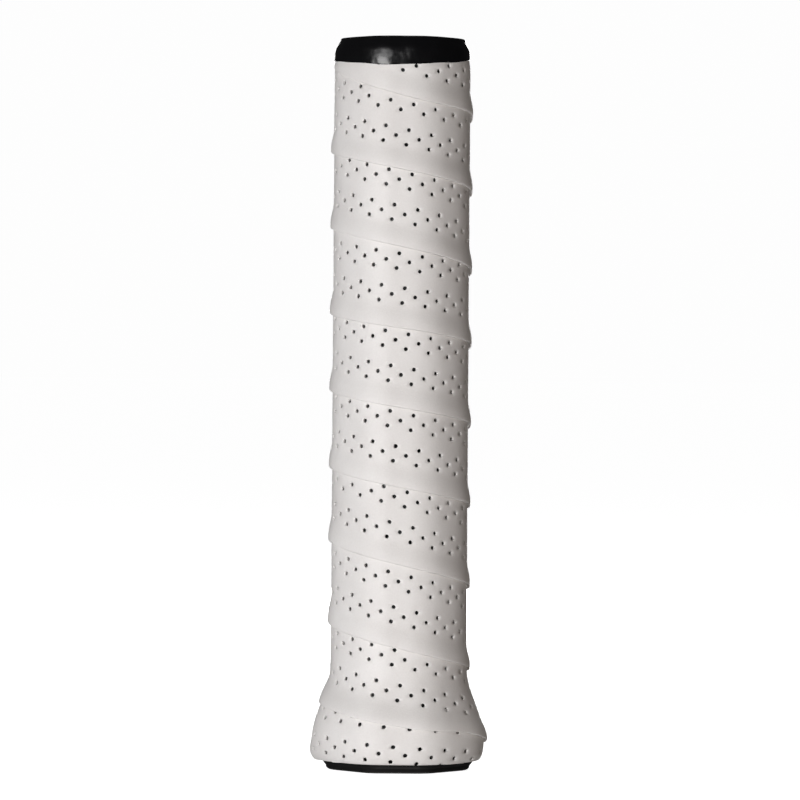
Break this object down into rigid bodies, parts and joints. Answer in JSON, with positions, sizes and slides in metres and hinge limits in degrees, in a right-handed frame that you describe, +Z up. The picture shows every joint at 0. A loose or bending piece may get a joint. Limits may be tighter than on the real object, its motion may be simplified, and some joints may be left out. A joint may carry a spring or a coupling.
{
  "type": "racket handle with wound overgrip",
  "caption": "Flared racket handle end wound with a perforated overgrip, held by a finishing tape, on a butt cap with a snap-in door.",
  "frame": {"origin": "centre of the butt's flat bottom, on the handle's axis", "axes": "+Z up along the handle, away from the butt; -Y towards the front, +X to the right"},
  "size_m": [0.0451, 0.0454, 0.1875],
  "materials": {
    "carbon": "carbon fibre laminate, satin",
    "foam": "rigid foam with a moulded skin",
    "cap_plastic": "moulded, fine grain, satin",
    "door_plastic": "moulded, satin",
    "staple_wire": "bright wire",
    "base_grip_skin": "synthetic leather on felt, matte",
    "tab_paper": "thin adhesive film",
    "overgrip_skin": "thin perforated polyurethane film on felt, soft satin",
    "vinyl": "stretch vinyl tape, soft gloss"
  },
  "bodies": {
    "handle": {"shaft_tube_left": "carbon", "shaft_tube_right": "carbon", "foam_pallet": "foam", "butt_cap": "cap_plastic", "cap_staples": "staple_wire", "base_grip": "base_grip_skin", "base_grip_staple": "staple_wire", "start_tab": "tab_paper", "overgrip": "overgrip_skin", "finishing_tape": "vinyl"},
    "door": {"trap_door": "door_plastic"}
  },
  "joints": [
    {"name": "door_pull", "type": "slide", "parent": "handle", "child": "door", "axis": [0, 0, -1], "range_m": [0, 0.012]}
  ]
}
